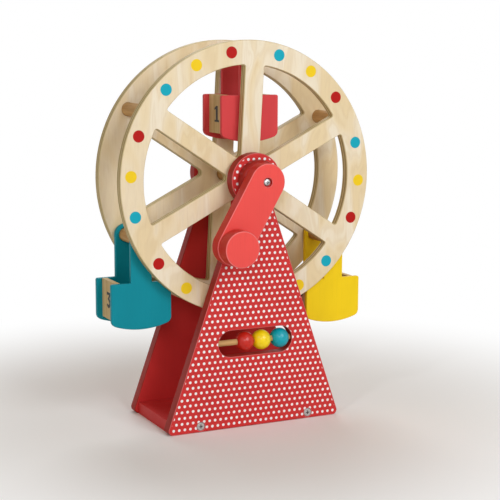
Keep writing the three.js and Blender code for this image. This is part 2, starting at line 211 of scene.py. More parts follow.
def ply_edge(tree):
    """The edge: plies in turn through the depth, blurred a little by the cut."""
    coordinates = add(tree, "TexCoord")
    axes = add(tree, "SeparateXYZ", {"Vector": coordinates.outputs["Object"]})
    wander = remap(tree, grain_noise(tree, (9, 9, 9)), 0.0, 1.0, -PLY_WANDER, PLY_WANDER)
    depth = add(tree, "Math", {0: axes.outputs["Y"], 1: PLY_THICKNESS * MM}, operation="DIVIDE")
    uneven = add(tree, "Math", {0: depth, 1: wander}, operation="ADD")
    turn = add(tree, "Math", {0: uneven, 1: math.pi}, operation="MULTIPLY")
    wave = add(tree, "Math", {0: turn}, operation="SINE")
    share = remap(tree, wave, -0.9, 0.9, 0.0, 1.0, smooth=True)
    plies = tint(tree, share, linear(PLY_END), linear(PLY_LONG))
    pores = grain_noise(tree, (0.9, 0.9, 0.9), detail=2.0)
    return tint(tree, remap(tree, pores, 0.60, 0.75, 0.0, 0.35), plies, linear(PLY_END))


def sealed_wood(tree, colour, relief, roughness=(0.50, 0.62), height=0.04):
    """A matt clear lacquer over wood, with the fibres standing up a little."""
    sheen = remap(tree, grain_noise(tree, (7, 7, 30)), 0.3, 0.7, *roughness)
    bump = add(tree, "Bump", {"Height": relief, "Distance": height * MM, "Strength": 0.6})
    inputs = {"Base Color": colour, "Roughness": sheen, "Normal": bump, "IOR": 1.5}
    return add(tree, "BsdfPrincipled", {**inputs, "Specular IOR Level": LACQUER_SPECULAR})


# %% [markdown]
# The rims carry painted dots, three between each pair of spokes. All six sectors are the same, so
# the angle round the axle is folded into one sector, and each dot is a plain distance test there.
# That gives a dot with a crisp edge at any zoom, as a pad-printed dot has, and needs no extra mesh.

# %% Dots on the rims
SPOKE_STEP = 60
FIRST_SPOKE = 87
RIM_DOT_CIRCLE = 125.2
RIM_DOT_RADIUS = 5.85
RIM_DOT_SPACING = 18
RIM_DOTS = ((RIM_DOT_SPACING, "#0AA6BC"), (0, "#F0CC1C"), (-RIM_DOT_SPACING, "#B20E0A"))
PRINT_EDGE = 0.12


def disc_mask(tree, x, z, centre_x, centre_z, radius):
    """1 inside a disc, 0 outside, with a printed edge. All in millimetres."""
    place = add(tree, "CombineXYZ", {"X": x, "Y": z})
    gap = add(tree, "VectorMath", {0: place, 1: (centre_x * MM, centre_z * MM, 0)}, operation="DISTANCE")
    inner = (radius - PRINT_EDGE) * MM
    outer = (radius + PRINT_EDGE) * MM
    return remap(tree, gap.outputs["Value"], inner, outer, 1.0, 0.0)


def rim_dots(tree, ground, outward):
    """The three printed dots of every sector, on the wheel's outward face."""
    coordinates = add(tree, "TexCoord")
    axes = add(tree, "SeparateXYZ", {"Vector": coordinates.outputs["Object"]})
    x, z = axes.outputs["X"], axes.outputs["Z"]
    flat = add(tree, "CombineXYZ", {"X": x, "Y": z})
    reach = add(tree, "VectorMath", {0: flat}, operation="LENGTH").outputs["Value"]
    angle = add(tree, "Math", {0: z, 1: x}, operation="ARCTAN2")
    half = math.radians(SPOKE_STEP / 2)
    first = math.radians(FIRST_SPOKE) + half
    turned_back = add(tree, "Math", {0: angle, 1: first}, operation="SUBTRACT")
    folded = add(tree, "Math", {0: turned_back, 1: half, 2: -half}, operation="WRAP")
    cosine = add(tree, "Math", {0: folded}, operation="COSINE")
    sine = add(tree, "Math", {0: folded}, operation="SINE")
    across = add(tree, "Math", {0: cosine, 1: reach}, operation="MULTIPLY")
    along = add(tree, "Math", {0: sine, 1: reach}, operation="MULTIPLY")
    outside = facing(tree, outward)
    colour = ground
    for degrees, paint in RIM_DOTS:
        offset = math.radians(degrees)
        centre = (RIM_DOT_CIRCLE * math.cos(offset), RIM_DOT_CIRCLE * math.sin(offset))
        disc = disc_mask(tree, across, along, *centre, RIM_DOT_RADIUS)
        mask = add(tree, "Math", {0: disc, 1: outside}, operation="MULTIPLY")
        colour = tint(tree, mask, colour, linear(paint))
    return colour


def wheel_birch(name, outward):
    """Birch plywood with the printed dots of one wheel."""
    material, tree = blank_material(name)
    wood = tint(tree, broad_face(tree), ply_edge(tree), birch_face(tree))
    relief = grain_noise(tree, (0.8, 20, 16), detail=3.0)
    show(tree, sealed_wood(tree, rim_dots(tree, wood, outward), relief))
    return material


front_birch = wheel_birch("birch_plywood_front_wheel", -1.0)
rear_birch = wheel_birch("birch_plywood_rear_wheel", 1.0)
print("wheel finishes:", front_birch.name, rear_birch.name)

# %% [markdown]
# Satin water-based paint on plywood. It is opaque, but a thin coat lets the grain stand out as fine
# ridges, which catch the light as streaks along the board. The sprayed skin has a slight orange peel.
# A colour that wanders by a few per cent and a roughness that does the same keep it from looking
# like plastic. The sides of a board and of a turned piece are end grain for the most part, which
# drinks the paint and dries deeper in colour than the face, and their colour is darkened further as
# painted shade for sides turned away from the light. The spacer behind the crank has a deeper red
# of its own, which is painted shade for the arm's shadow over it. On the eased edge between face and
# side a fine pale line is painted round the stand and the crank: a painted highlight where the
# rounded edge catches the light.

# %% Satin paint
STREAK_SHADE = 0.86
STREAK_DEPTH = 0.5
PAINT_GRAIN = (1.2, 20, 36)
BASE_GRAIN = (36, 1.2, 1.2)
PAINT_SPECULAR = 0.15
CRANK_SHEEN = (0.28, 0.36)
# How strongly the painted highlight, a pale line on the eased edges, shows on the crank and the stand.
CRANK_EDGE_HIGHLIGHT = 0.55
STAND_EDGE_HIGHLIGHT = 0.45
# Side colours: deeper for the end grain, and darker still as painted shade for sides turned from the
# light.
CRANK_EDGE = "#CE2A1E"
STAND_EDGE = "#9E2417"
# The spacer's deeper red and its side colour are painted shade, for the arm's shadow over it.
SPACER_SHADED_RED = "#B8322E"
SPACER_SHADED_EDGE = "#A02219"
# The colour of the painted highlight on the eased edges.
PAINTED_EDGE_HIGHLIGHT = "#FA9C9C"


def shade(code, factor):
    """A hex colour made darker or lighter in linear values."""
    return (*[min(1.0, part * factor) for part in linear(code)[:3]], 1)


def paint_coat(tree, colour, streaks, roughness=(0.40, 0.50), ridge=0.05):
    """The painted surface itself, over any colour."""
    skin = grain_noise(tree, (1.6, 1.6, 1.6), detail=1.0)
    peel = add(tree, "Bump", {"Height": skin, "Distance": 0.02 * MM, "Strength": 0.5})
    ridges = {"Height": streaks, "Distance": ridge * MM, "Strength": 0.6}
    bump = add(tree, "Bump", {**ridges, "Normal": peel})
    sheen = remap(tree, grain_noise(tree, (12, 12, 40)), 0.3, 0.7, *roughness)
    inputs = {"Base Color": colour, "Roughness": sheen, "Normal": bump, "IOR": 1.5}
    return add(tree, "BsdfPrincipled", {**inputs, "Specular IOR Level": PAINT_SPECULAR})


def eased_edge(tree, outward, amount):
    """The given amount on the outward eased edge, where the face turns into the side, else 0."""
    axes = add(tree, "SeparateXYZ", {"Vector": add(tree, "TexCoord").outputs["Normal"]})
    along = add(tree, "Math", {0: axes.outputs["Y"], 1: outward}, operation="MULTIPLY")
    leaves_side = remap(tree, along, 0.40, 0.70, 0.0, amount)
    nears_face = remap(tree, along, 0.88, 0.99, 1.0, 0.0)
    return add(tree, "Math", {0: leaves_side, 1: nears_face}, operation="MULTIPLY")


def painted(tree, paint, edge, grain, outward=-1.0, edge_highlight=0.0):
    """The paint's colour on faces and edges with the grain's faint streaks, and those streaks."""
    streaks = grain_noise(tree, grain, detail=3.0, roughness=0.6)
    cloud = grain_noise(tree, (30, 30, 60))
    base = tint(tree, remap(tree, cloud, 0.35, 0.65, 0.0, 1.0), linear(paint), shade(paint, 0.95))
    streaked = remap(tree, streaks, 0.50, 0.78, 0.0, STREAK_DEPTH)
    face = tint(tree, streaked, base, shade(paint, STREAK_SHADE))
    # The side colour: the end grain's deeper paint, darkened further as painted shade.
    side = tint(tree, streaked, linear(edge), shade(edge, STREAK_SHADE))
    colour = tint(tree, broad_face(tree), side, face)
    # The pale line on the eased edge is a painted highlight, where the rounded edge catches the light.
    if edge_highlight:
        colour = tint(tree, eased_edge(tree, outward, edge_highlight), colour, linear(PAINTED_EDGE_HIGHLIGHT))
    return colour, streaks


def satin_paint(name, paint, edge=None, grain=PAINT_GRAIN, roughness=(0.40, 0.50), edge_highlight=0.0):
    """Satin paint over plywood, its grain along Z unless told otherwise."""
    material, tree = blank_material(name)
    colour, streaks = painted(tree, paint, edge or paint, grain, edge_highlight=edge_highlight)
    show(tree, paint_coat(tree, colour, streaks, roughness))
    return material


crank_paint = satin_paint(
    "satin_paint_crank_red", CRANK_RED, CRANK_EDGE, roughness=CRANK_SHEEN, edge_highlight=CRANK_EDGE_HIGHLIGHT
)
# The spacer's own paint is darker as painted shade for the arm's shadow.
shaded_spacer_paint = satin_paint("satin_paint_spacer_painted_shade", SPACER_SHADED_RED, SPACER_SHADED_EDGE, roughness=CRANK_SHEEN)
base_paint = satin_paint("satin_paint_stand_red", STAND_RED, grain=BASE_GRAIN)
car_paints = {
    1: satin_paint("satin_paint_car_red", CAR_RED),
    2: satin_paint("satin_paint_car_yellow", YELLOW),
    3: satin_paint("satin_paint_car_teal", TEAL),
}
print("painted finishes:", crank_paint.name, [paint.name for paint in car_paints.values()])

# %% [markdown]
# The stand panels are painted red and printed with small white polka dots on the outside only. The
# dots sit on a staggered lattice: two square-cornered grids, the second moved by half a pitch both
# ways. Wrapping a coordinate folds a whole grid into one cell, so one distance test draws it all.
# The print stops a little short of the panel's edge and cuts through the dots there, so the panel's
# round head and its straight sides are needed here as well as for its outline.

# %% Polka dots
HEAD_RADIUS = 26.7
WAIST_HALF_WIDTH = 9.3
SIDE_SPREAD = 0.352
DOT_WHITE = "#F3F4F5"
DOT_RADIUS = 1.42
DOT_PITCH = 5.95
DOT_ROW_STEP = 5.86
DOT_ROW_ABOVE_AXLE = 20.6
DOT_MARGIN = 1.8


def polka_grid(tree, axes, shift_x, shift_z):
    """One of the two grids of dots, as a mask."""
    cells = []
    for axis, shift, pitch in (("X", shift_x, DOT_PITCH), ("Z", shift_z, 2 * DOT_ROW_STEP)):
        moved = add(tree, "Math", {0: axes.outputs[axis], 1: shift * MM}, operation="SUBTRACT")
        half = pitch / 2 * MM
        cells.append(add(tree, "Math", {0: moved, 1: half, 2: -half}, operation="WRAP"))
    return disc_mask(tree, *cells, 0, 0, DOT_RADIUS)


def printed_area(tree, axes):
    """1 where the print reaches: the head and the part between the sides, less the margin."""
    head = disc_mask(tree, axes.outputs["X"], axes.outputs["Z"], 0, 0, HEAD_RADIUS - DOT_MARGIN)
    half = WAIST_HALF_WIDTH - DOT_MARGIN * math.hypot(1, SIDE_SPREAD)
    sides = {0: axes.outputs["Z"], 1: -SIDE_SPREAD, 2: half * MM}
    reach = add(tree, "Math", sides, operation="MULTIPLY_ADD")
    across = add(tree, "Math", {0: axes.outputs["X"]}, operation="ABSOLUTE")
    room = add(tree, "Math", {0: reach, 1: across}, operation="SUBTRACT")
    between = remap(tree, room, -PRINT_EDGE * MM, PRINT_EDGE * MM, 0.0, 1.0)
    return add(tree, "Math", {0: head, 1: between}, operation="MAXIMUM")


def polka_paint(name, outward):
    """Red satin paint with printed dots on the panel's outward face."""
    material, tree = blank_material(name)
    colour, streaks = painted(tree, STAND_RED, STAND_EDGE, PAINT_GRAIN, outward, edge_highlight=STAND_EDGE_HIGHLIGHT)
    axes = add(tree, "SeparateXYZ", {"Vector": add(tree, "TexCoord").outputs["Object"]})
    odd = polka_grid(tree, axes, DOT_PITCH / 2, DOT_ROW_ABOVE_AXLE)
    even = polka_grid(tree, axes, 0, DOT_ROW_ABOVE_AXLE - DOT_ROW_STEP)
    both = add(tree, "Math", {0: odd, 1: even}, operation="MAXIMUM")
    inside = add(tree, "Math", {0: both, 1: printed_area(tree, axes)}, operation="MULTIPLY")
    mask = add(tree, "Math", {0: inside, 1: facing(tree, outward)}, operation="MULTIPLY")
    show(tree, paint_coat(tree, tint(tree, mask, colour, linear(DOT_WHITE)), streaks))
    return material


front_polka = polka_paint("polka_dot_paint_front", -1.0)
rear_polka = polka_paint("polka_dot_paint_rear", 1.0)
print("dot pitch:", DOT_PITCH, "mm, rows", DOT_ROW_STEP, "mm apart")

# %% [markdown]
# The dowels, the bead rod and the axle are turned beech, left bare. Turned beech is pinker and
# darker than birch veneer, with short flecks along its length, so its noise is stretched along the
# rod. The cars' end boards and floors are thin plywood with the face left bare, seen in shade. The
# end boards stand up and the floors lie flat, so their fibres run along different axes.

# %% Bare woods
BEECH_PALE = "#D0A66E"
BEECH_DARK = "#A87A46"
BOARD_PALE = "#DCC291"
BOARD_DARK = "#B9965C"


def bare_wood(name, pale, dark, along):
    """Bare wood with fibres along one axis, given as three periods in millimetres."""
    material, tree = blank_material(name)
    figure = grain_noise(tree, [3 * period for period in along], detail=2.0)
    fibres = grain_noise(tree, along, detail=3.0, roughness=0.65)
    broad = tint(tree, remap(tree, figure, 0.35, 0.65, 0.0, 0.5), linear(pale), linear(dark))
    colour = tint(tree, remap(tree, fibres, 0.50, 0.75, 0.0, 0.6), broad, linear(dark))
    show(tree, sealed_wood(tree, colour, fibres, roughness=(0.55, 0.70), height=0.06))
    return material


beech_along_y = bare_wood("turned_beech_dowel", BEECH_PALE, BEECH_DARK, (1.2, 22, 1.2))
beech_along_x = bare_wood("turned_beech_bead_rod", BEECH_PALE, BEECH_DARK, (22, 1.0, 1.0))
car_board = bare_wood("bare_plywood_car_board", BOARD_PALE, BOARD_DARK, (1.2, 1.2, 24))
car_floor = bare_wood("bare_plywood_car_floor", BOARD_PALE, BOARD_DARK, (24, 1.2, 1.2))
print("bare woods:", beech_along_y.name, beech_along_x.name, car_board.name, car_floor.name)

# %% [markdown]
# The beads are turned wood dipped in lacquer. Dipping leaves a thick, smooth skin, so the grain is
# gone and the colour is deep. The highlight is bright in the middle and fades softly, which a thin
# clear coat over a rougher base gives. The base reflects little of its own, or the pale room would
# wash the colour out.

# %% Gloss lacquer
BEAD_COLOURS = {"teal_bead": "#00A8BA", "yellow_bead": "#FFE010", "red_bead": "#CA2618"}
BEAD_SPECULAR = 0.08
COAT_WEIGHT = 0.60
COAT_ROUGHNESS = 0.24


def gloss_lacquer(name, paint):
    """Dipped gloss lacquer with a soft unevenness."""
    material, tree = blank_material(name)
    cloud = grain_noise(tree, (6, 6, 6))
    colour = tint(tree, remap(tree, cloud, 0.35, 0.65, 0.0, 1.0), linear(paint), shade(paint, 0.90))
    sheen = remap(tree, cloud, 0.3, 0.7, 0.34, 0.42)
    ripple = add(tree, "Bump", {"Height": cloud, "Distance": 0.05 * MM, "Strength": 0.3})
    inputs = {"Base Color": colour, "Roughness": sheen, "Normal": ripple, "IOR": 1.5}
    coat = {"Coat Weight": COAT_WEIGHT, "Coat Roughness": COAT_ROUGHNESS}
    gloss = {**inputs, "Specular IOR Level": BEAD_SPECULAR, **coat}
    show(tree, add(tree, "BsdfPrincipled", gloss))
    return material


bead_lacquers = {
    node: gloss_lacquer("gloss_lacquer_" + node, paint) for node, paint in BEAD_COLOURS.items()
}
print("bead finishes:", sorted(bead_lacquers))

# %% [markdown]
# The screws are bright zinc-plated steel. Plating is not a mirror: it is slightly clouded and
# brushed by the tumbling it went through, so its roughness varies over a millimetre or so. Steep
# walls, above all those of the cross recess, are painted dark as painted shade, which makes the
# cross stand out. The numbers are a flat black printing ink, rougher than the paint and never fully
# black.

# %% Steel and ink
STEEL = "#D3D4D2"
STEEL_DULL = "#B4B6B6"
STEEL_PAINTED_SHADE = "#4C4B48"
INK = "#15130F"
INK_WORN = "#4A3F2C"


def zinc_steel(name):
    """Zinc-plated steel, clouded and faintly brushed, with painted shade on its steep walls."""
    material, tree = blank_material(name)
    cloud = grain_noise(tree, (1.2, 1.2, 1.2), detail=3.0)
    plated = tint(tree, remap(tree, cloud, 0.35, 0.65, 0.0, 1.0), linear(STEEL), linear(STEEL_DULL))
    axes = add(tree, "SeparateXYZ", {"Vector": add(tree, "TexCoord").outputs["Normal"]})
    level = add(tree, "Math", {0: axes.outputs["Y"]}, operation="ABSOLUTE")
    # Steep walls, the cross recess above all, are darkened as painted shade.
    colour = tint(tree, remap(tree, level, 0.25, 0.60, 1.0, 0.0), plated, linear(STEEL_PAINTED_SHADE))
    sheen = remap(tree, cloud, 0.3, 0.7, 0.34, 0.50)
    bump = add(tree, "Bump", {"Height": cloud, "Distance": 0.01 * MM, "Strength": 0.5})
    inputs = {"Base Color": colour, "Roughness": sheen, "Normal": bump, "Metallic": 1.0}
    show(tree, add(tree, "BsdfPrincipled", inputs))
    return material


def printing_ink(name):
    """Matt black ink with the board's grain showing through faintly."""
    material, tree = blank_material(name)
    grain = grain_noise(tree, (1.2, 1.2, 10), detail=3.0)
    colour = tint(tree, remap(tree, grain, 0.50, 0.75, 0.0, 0.3), linear(INK), linear(INK_WORN))
    sheen = remap(tree, grain, 0.3, 0.7, 0.55, 0.7)
    show(tree, add(tree, "BsdfPrincipled", {"Base Color": colour, "Roughness": sheen, "IOR": 1.5}))
    return material


steel = zinc_steel("zinc_plated_steel")
ink = printing_ink("black_printing_ink")
print("small finishes:", steel.name, ink.name)

# %% [markdown]
# Almost every board of the toy is a flat outline cut from plywood with its edges eased. A filled 2D
# curve makes exactly that: it takes an outline and its holes, gives them thickness and rounds every
# edge, and it becomes a closed mesh in one step. Weighted normals keep the big faces flat while the
# eased edges stay soft.

# %% Flat boards from outlines
EASE_STEPS = 2
SMOOTH_ANGLE = math.radians(32)
WELD = 0.001 * MM


def soften(piece):
    """Smooth shading with crisp corners and flat faces."""
    piece.data.shade_smooth()
    piece.data.set_sharp_from_angle(angle=SMOOTH_ANGLE)
    normals = piece.modifiers.new("flat faces stay flat", "WEIGHTED_NORMAL")
    normals.keep_sharp = True
    return piece


def place_mesh(name, mesh, place):
    """A new piece with its own origin at a place in millimetres."""
    piece = bpy.data.objects.new(name, mesh)
    bpy.context.scene.collection.objects.link(piece)
    piece.location = Vector(place) * MM
    return piece


def weld(mesh):
    """Joins the points that lie on each other and turns every face outward."""
    shape = bmesh.new()
    shape.from_mesh(mesh)
    bmesh.ops.remove_doubles(shape, verts=shape.verts, dist=WELD)
    bmesh.ops.dissolve_degenerate(shape, edges=shape.edges, dist=WELD)
    bmesh.ops.recalc_face_normals(shape, faces=shape.faces)
    shape.to_mesh(mesh)
    shape.free()
    return mesh


def outline_mesh(name, outline, holes, thickness, ease):
    """A closed board from an outline in X and Z, thick along Y from its front face at zero."""
    curve = bpy.data.curves.new(name, "CURVE")
    curve.dimensions = "2D"
    curve.fill_mode = "BOTH"
    curve.extrude = (thickness / 2 - ease) * MM
    curve.bevel_depth = ease * MM
    curve.bevel_resolution = EASE_STEPS
    curve.offset = -ease * MM
    for ring in (outline, *holes):
        spline = curve.splines.new("POLY")
        spline.points.add(len(ring) - 1)
        for point, (x, z) in zip(spline.points, ring):
            point.co = (x * MM, z * MM, 0, 1)
        spline.use_cyclic_u = True
    drawn = bpy.data.objects.new(name, curve)
    bpy.context.scene.collection.objects.link(drawn)
    depsgraph = bpy.context.evaluated_depsgraph_get()
    mesh = bpy.data.meshes.new_from_object(drawn.evaluated_get(depsgraph))
    bpy.data.objects.remove(drawn)
    bpy.data.curves.remove(curve)
    mesh.materials.clear()
    mesh.transform(Matrix.Rotation(math.pi / 2, 4, "X"))
    mesh.transform(Matrix.Translation((0, thickness / 2 * MM, 0)))
    return weld(mesh)


def board(name, outline, holes, thickness, ease, place):
    """A board as a piece, with its front face at the given place."""
    return soften(place_mesh(name, outline_mesh(name, outline, holes, thickness, ease), place))


def arc(x, z, radius, start, end, steps):
    """Points along an arc, both ends included, angles in degrees."""
    angles = [math.radians(start + (end - start) * step / steps) for step in range(steps + 1)]
    return [(x + radius * math.cos(angle), z + radius * math.sin(angle)) for angle in angles]


def circle(x, z, radius, steps=64):
    """Points round a whole circle."""
    return arc(x, z, radius, 0, 360, steps)[1:]


# %% [markdown]
# Dowels, beads, the knob and the screws are turned parts. A lathe does it in the workshop, and a
# spin does it here: a profile of radius and depth is swept once round the Y axis and its seam is
# welded shut.


# %% Turned parts
def turned_mesh(name, profile, steps):
    """A closed body swept round Y from a profile of (radius, depth) points."""
    shape = bmesh.new()
    points = [shape.verts.new((radius * MM, depth * MM, 0)) for radius, depth in profile]
    edges = [shape.edges.new(pair) for pair in zip(points, points[1:])]
    full = 2 * math.pi
    bmesh.ops.spin(shape, geom=points + edges, cent=(0, 0, 0), axis=(0, 1, 0), angle=full, steps=steps)
    mesh = bpy.data.meshes.new(name)
    shape.to_mesh(mesh)
    shape.free()
    return weld(mesh)


def turned(name, profile, place, steps=64):
    """A turned part as a piece, with depth zero at the given place."""
    return soften(place_mesh(name, turned_mesh(name, profile, steps), place))


def eased_rod(radius, length, ease, back_ease=None, steps=3):
    """The profile of a rod whose two ends are eased, the back like the front unless told otherwise."""
    rear = ease if back_ease is None else back_ease
    front = [(radius - ease + px, pz) for px, pz in arc(0, ease, ease, -90, 0, steps)]
    back = [(radius - rear + px, length - rear + pz) for px, pz in arc(0, 0, rear, 0, 90, steps)]
    return [(0, 0), *front, *back, (0, length)]


# %% [markdown]
# Two more workshop steps: drilling, done with a boolean that takes a cutter's solid out of a piece,
# and dressing, which gives a piece its finish, the body that it moves with and the solid that it
# stands for.


# %% Drill and dress
def carve(piece, cutter):
    """Takes the cutter's solid out of a piece, then deletes the cutter."""
    piece.modifiers.clear()
    drill = piece.modifiers.new("drill", "BOOLEAN")
    drill.object = cutter
    drill.solver = "EXACT"
    depsgraph = bpy.context.evaluated_depsgraph_get()
    mesh = bpy.data.meshes.new_from_object(piece.evaluated_get(depsgraph))
    piece.modifiers.clear()
    piece.data = weld(mesh)
    bpy.data.objects.remove(cutter)
    return soften(piece)


def dress(piece, material, body, slot, *nodes):
    """The finish, the body it rides on and the nodes it stands for; the slot argument is not used."""
    piece.data.materials.clear()
    piece.data.materials.append(material)
    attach(piece, body)
    if nodes:
        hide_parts(*nodes)
    return piece


# %% [markdown]
# Stand panels. Each is one board: a round head round the axle on a straight-sided foot, with a small
# fillet at the neck. The sides are straight lines, so the outline is worked out from where the
# fillet touches the head and the side. The front panel also has the long bead window.

# %% Stand panels
NECK_FILLET = 6
FOOT_CORNER = 5
PANEL_EASE = 1.0
WINDOW_LENGTH = 81.4
WINDOW_HEIGHT = 26.4
WINDOW_DROP = 161.6
BORE_RADIUS = 7.05
SCREW_HOLE_RADIUS = 4.3


def panel_outline():
    """The panel seen from the front, with the axle at 0, 0."""
    side = Vector((SIDE_SPREAD, -1)).normalized()
    outward = Vector((-side.y, side.x))
    start = Vector((WAIST_HALF_WIDTH, 0)) + outward * NECK_FILLET
    along = start.dot(side)
    reach = HEAD_RADIUS + NECK_FILLET
    neck = start + side * (math.sqrt(along ** 2 - start.length_squared + reach ** 2) - along)
    head_angle = math.degrees(math.atan2(neck.y, neck.x))
    side_angle = math.degrees(math.atan2(-outward.y, -outward.x))
    foot_angle = math.degrees(math.atan2(outward.y, outward.x))
    foot_z = FOOT_CORNER - axle_z
    foot_x = WAIST_HALF_WIDTH - SIDE_SPREAD * foot_z - FOOT_CORNER / outward.x
    right = arc(foot_x, foot_z, FOOT_CORNER, -90, foot_angle, 8)
    right += arc(neck.x, neck.y, NECK_FILLET, side_angle, head_angle - 180, 10)
    head = arc(0, 0, HEAD_RADIUS, head_angle, 180 - head_angle, 96)
    left = [(-x, z) for x, z in reversed(right)]
    return right + head[1:-1] + left


def bead_window():
    """A long window with round ends."""
    radius = WINDOW_HEIGHT / 2
    offset = WINDOW_LENGTH / 2 - radius
    right = arc(offset, -WINDOW_DROP, radius, -90, 90, 32)
    return right + arc(-offset, -WINDOW_DROP, radius, 90, 270, 32)


def screw_holes():
    """Two holes near the foot, where the base screws' heads lie."""
    places = [middle(f"base_screw_{number}") for number in (1, 2)]
    return [circle(place.x, place.z - axle_z, SCREW_HOLE_RADIUS, 32) for place in places]


PANELS = (("front_panel", [bead_window()], front_polka), ("rear_panel", [], rear_polka))
for node, windows, finish in PANELS:
    thickness = span(node).y
    front = middle(node).y - thickness / 2
    holes = [circle(0, 0, BORE_RADIUS), *screw_holes(), *windows]
    place = (axle_x, front, axle_z)
    panel = board(node + "_board", panel_outline(), holes, thickness, PANEL_EASE, place)
    dress(panel, finish, "stand", "stand_red", node)
    print(node, "has", len(panel.data.polygons), "faces, thickness", round(thickness, 2), "mm")

# %% [markdown]
# The base board joins the two panels at the foot. It is a plain board with eased edges, painted like
# the panels. It is drawn as an outline too, so that its long edges are rounded in the same way.

# %% Base board
BASE_EASE = 1.2

base_middle, base_span = middle("base_board"), span("base_board")
base_half = base_span.x / 2
base_top = base_span.z
base_outline = [(-base_half, 0), (base_half, 0), (base_half, base_top), (-base_half, base_top)]
base_place = (base_middle.x, base_middle.y - base_span.y / 2, 0)
base = board("base_board_plank", base_outline, [], base_span.y, BASE_EASE, base_place)
dress(base, base_paint, "stand", "stand_red", "base_board")
print("base board:", [round(side, 1) for side in base_span], "mm")

# %% [markdown]
# Wheels. Both are cut from one pattern: a rim and six spokes, which leaves six windows with a round
# corner at the hub and small corners at the rim. One window is worked out from the spoke's width and
# then repeated round the wheel. Blind holes in the inner faces hold the dowels' ends.

# %% Wheels
WHEEL_EASE = 1.0
RIM_WIDTH = 24
SPOKE_WIDTH = 20.5
HUB_CORNER = 4
RIM_CORNER = 2
DOWEL_HOLE_RADIUS = 7.05
DOWEL_HOLE_DEPTH = 5.3
DOWEL_HOLE_EASE = 0.2
DOWEL_HOLE_STEPS = 40
DOWEL_NODES = [f"{kind}_dowel_{number}" for kind in ("car", "spacer") for number in (1, 2, 3)]

wheel_radius = span("front_wheel").x / 2
inner_radius = wheel_radius - RIM_WIDTH


def wheel_window(angle):
    """One window between two spokes, its middle at an angle in degrees."""
    half = SPOKE_STEP / 2
    edge = SPOKE_WIDTH / 2
    tip = (edge + HUB_CORNER) / math.sin(math.radians(half))
    corner_circle = inner_radius - RIM_CORNER
    swing = half - math.degrees(math.asin((edge + RIM_CORNER) / corner_circle))
    left, right = angle + half + 90, angle - half - 90
    tip_x, tip_z = arc(0, 0, tip, angle, angle, 1)[0]
    low_x, low_z = arc(0, 0, corner_circle, angle - swing, angle - swing, 1)[0]
    high_x, high_z = arc(0, 0, corner_circle, angle + swing, angle + swing, 1)[0]
    points = arc(tip_x, tip_z, HUB_CORNER, left, right + 360, 12)
    points += arc(low_x, low_z, RIM_CORNER, right, angle - swing, 6)
    points += arc(0, 0, inner_radius, angle - swing, angle + swing, 40)[1:-1]
    return points + arc(high_x, high_z, RIM_CORNER, angle + swing, left, 6)


windows = [wheel_window(FIRST_SPOKE + SPOKE_STEP * (number + 0.5)) for number in range(6)]
for node, finish in (("front_wheel", front_birch), ("rear_wheel", rear_birch)):
    thickness = span(node).y
    front = middle(node).y - thickness / 2
    inner_face = front + thickness if front < 0 else front
    holes = [circle(0, 0, BORE_RADIUS), *windows]
    outline = circle(0, 0, wheel_radius, 256)
    wheel = board(node + "_disc", outline, holes, thickness, WHEEL_EASE, (axle_x, front, axle_z))
    profile = eased_rod(DOWEL_HOLE_RADIUS, 2 * DOWEL_HOLE_DEPTH, DOWEL_HOLE_EASE)
    gathered = bmesh.new()
    for dowel in DOWEL_NODES:
        centre = middle(dowel)
        start = Vector((centre.x, inner_face - DOWEL_HOLE_DEPTH, centre.z)) * MM
        cutter = turned_mesh("cutter", profile, DOWEL_HOLE_STEPS)
        cutter.transform(Matrix.Translation(start))
        gathered.from_mesh(cutter)
    drill = bpy.data.meshes.new("dowel holes")
    gathered.to_mesh(drill)
    gathered.free()
    carve(wheel, place_mesh("dowel holes", drill, (0, 0, 0)))
    dress(wheel, finish, "wheel", "birch_plywood", node)
    print(node, "radius", round(wheel_radius, 1), "mm,", len(wheel.data.polygons), "faces")

# %% [markdown]
# Dowels and axle. Six dowels hold the wheels apart, and three of them carry the cars. They are plain
# turned rods with slightly eased ends, so one loop makes them all at the frame's places.

# %% Dowels and axle
ROD_EASE = 0.6

for node in [*DOWEL_NODES, "axle"]:
    centre, sides = middle(node), span(node)
    start = (centre.x, centre.y - sides.y / 2, centre.z)
    rod = turned(node + "_rod", eased_rod(sides.x / 2, sides.y, ROD_EASE), start)
    dress(rod, beech_along_y, "wheel", "dowel_wood", node)
print("dowels:", len(DOWEL_NODES), "of", round(span("car_dowel_1").x, 1), "mm")

# %% [markdown]
# Crank. The arm is a board with two round ends, eased more than the wheels because it is held in the
# hand. Its upper end has a flat-bottomed recess for the screw, drilled with a boolean. Behind it sits
# the round spacer, whose front edge is rounded over far enough to vanish behind the arm. The cap
# behind the rear panel is a disc too, with its own recess.

# %% Crank arm, spacer and cap
ARM_RADIUS = 18.5
ARM_EASE = 1.3
RECESS_RADIUS = 4.7
RECESS_DEPTH = 3.5
RECESS_EASE = 0.4
DISC_EASE = 1.0
SPACER_ROUND = 4.0
ROUND_STEPS = 8

knob_centre = middle("crank_knob")
crank_offset = Vector((knob_centre.x - axle_x, knob_centre.z - axle_z))
crank_angle = math.degrees(math.atan2(crank_offset.y, crank_offset.x))


def recess_cutter(place, towards):
    """A cutter for a flat-bottomed recess with an eased mouth, open towards -1 or +1 along Y."""
    mouth = RECESS_RADIUS + RECESS_EASE
    depth = RECESS_DEPTH
    bottom = [(0, depth), (RECESS_RADIUS, depth)]
    profile = [*bottom, (RECESS_RADIUS, RECESS_EASE), (mouth, 0), (mouth, -1), (0, -1)]
    mesh = turned_mesh("recess", [(radius, -towards * along) for radius, along in profile], 48)
    return place_mesh("recess", mesh, place)


